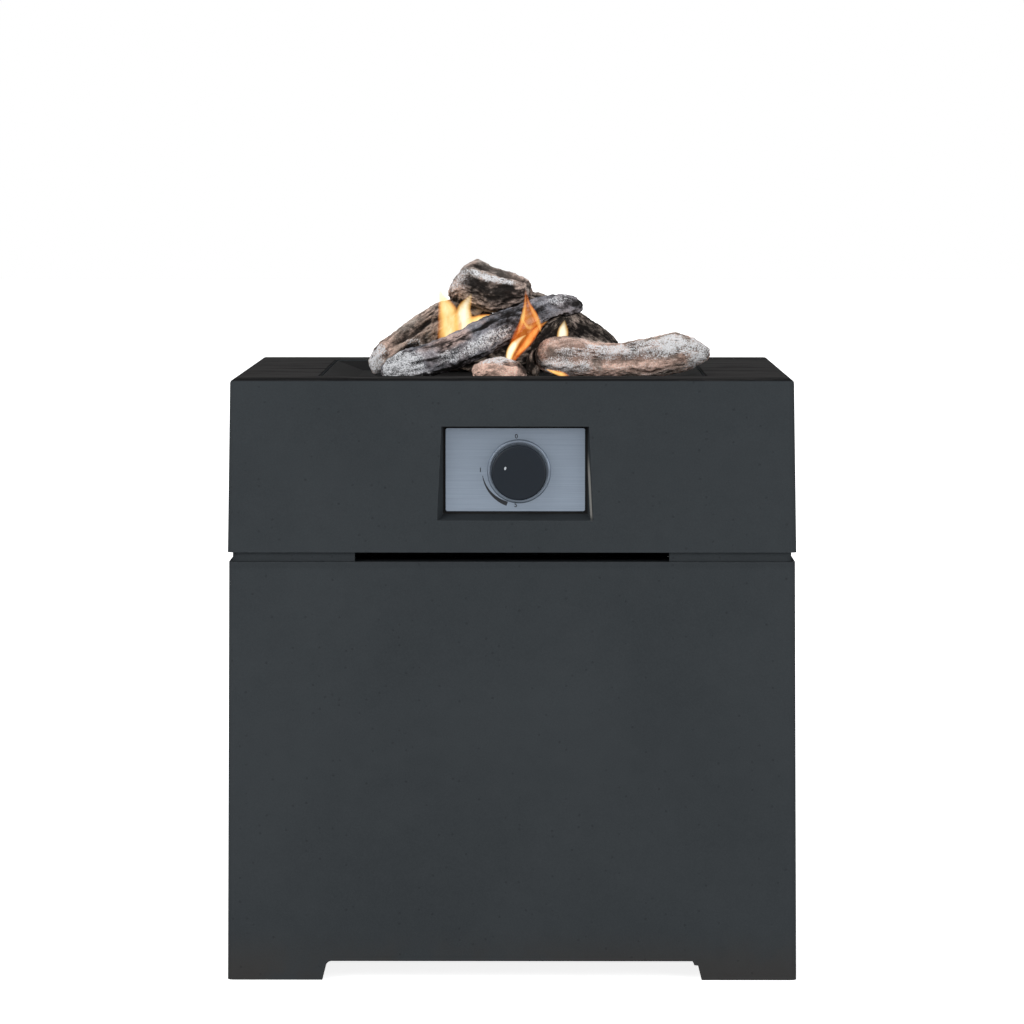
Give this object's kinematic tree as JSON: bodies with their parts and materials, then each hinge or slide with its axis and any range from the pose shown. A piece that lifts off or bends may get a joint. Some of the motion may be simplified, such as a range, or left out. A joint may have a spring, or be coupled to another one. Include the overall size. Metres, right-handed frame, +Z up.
{
  "type": "gas fire pit",
  "caption": "Square floor-standing gas fire pit: cast base that houses the gas bottle, cast upper block with burner, control knob and ceramic logs, and a hinged rear door.",
  "frame": {"origin": "middle of the square footprint, on the floor", "axes": "+Z up; -Y is the front with the control knob, +Y the back with the door; +X is to the right seen from the front"},
  "size_m": [0.6, 0.6057, 0.7539],
  "materials": {
    "cast_concrete": "cast fibre cement, dark anthracite, matt with faint mottling",
    "zinc_steel": "zinc-plated steel",
    "heat_black_steel": "heat-proof black paint on folded steel, satin",
    "knob_black": "blue-black satin plastic",
    "stainless": "brushed stainless steel",
    "white_ceramic": "glazed insulator",
    "brass": "machined brass, slightly dull",
    "nylon": "natural nylon",
    "pointer_white": "pale inlay",
    "log_ceramic": "refractory ceramic cast and painted as charred wood",
    "magnet_ferrite": "dark ferrite",
    "igniter_plastic": "black plastic",
    "lead_rubber": "black lead insulation",
    "copper": "dull copper capillary",
    "valve_alloy": "die-cast aluminium"
  },
  "bodies": {
    "base": {"base_shell": "cast_concrete", "door_frame": "heat_black_steel", "frame_screws": "zinc_steel", "hinge_pins": "zinc_steel", "magnetic_catch": "magnet_ferrite"},
    "door": {"door_panel": "heat_black_steel", "hinge_bushes": "nylon", "door_pull": "heat_black_steel", "pull_screw": "zinc_steel", "strike_plate": "zinc_steel"},
    "burner_unit": {"bonnet_screws": "zinc_steel", "bracket_screws": "zinc_steel", "burner_plate": "heat_black_steel", "burner_screws": "zinc_steel", "burner_tray": "heat_black_steel", "control_bracket": "heat_black_steel", "control_plate": "stainless", "electrode_sleeve": "white_ceramic", "gas_inlet": "brass", "gas_pipe": "zinc_steel", "heat_shield": "zinc_steel", "injector": "brass", "injector_holder": "brass", "knob_bezel": "stainless", "lead_clips": "nylon", "log_back_left": "log_ceramic", "log_back_right": "log_ceramic", "log_front": "log_ceramic", "log_prop": "log_ceramic", "log_rear": "log_ceramic", "log_right": "log_ceramic", "log_stub": "log_ceramic", "log_top": "log_ceramic", "magnet_unit": "brass", "mixer_tube": "zinc_steel", "nose_nut": "zinc_steel", "piezo_igniter": "igniter_plastic", "pilot_bracket": "stainless", "pipe_nuts": "brass", "plate_nuts": "zinc_steel", "plenum_pan": "heat_black_steel", "shield_nuts": "zinc_steel", "shield_studs": "zinc_steel", "spark_lead": "lead_rubber", "spark_rod": "stainless", "thermocouple": "stainless", "thermocouple_lead": "copper", "upper_shell": "cast_concrete", "valve_body": "valve_alloy", "valve_bonnet": "valve_alloy"},
    "plug": {"valve_plug": "brass"},
    "knob": {"valve_stem": "zinc_steel", "control_knob": "knob_black", "knob_pointer": "pointer_white"}
  },
  "joints": [
    {"name": "lift_off", "type": "slide", "parent": "base", "child": "burner_unit", "axis": [0, 0, 1], "range_m": [0, 0.25]},
    {"name": "door_swing", "type": "hinge", "parent": "base", "child": "door", "pos_m": [0.1685, 0.2876, 0.22], "axis": [0, 0, -1], "range_deg": [0, 100]},
    {"name": "knob_turn", "type": "hinge", "parent": "burner_unit", "child": "plug", "pos_m": [0.0073, -0.255, 0.536], "axis": [0, -1, 0], "range_deg": [-72, 108]},
    {"name": "knob_push", "type": "slide", "parent": "plug", "child": "knob", "axis": [0, 1, 0], "range_m": [0, 0.004], "stiffness_N_per_m": 800, "springref_m": -0.003}
  ]
}
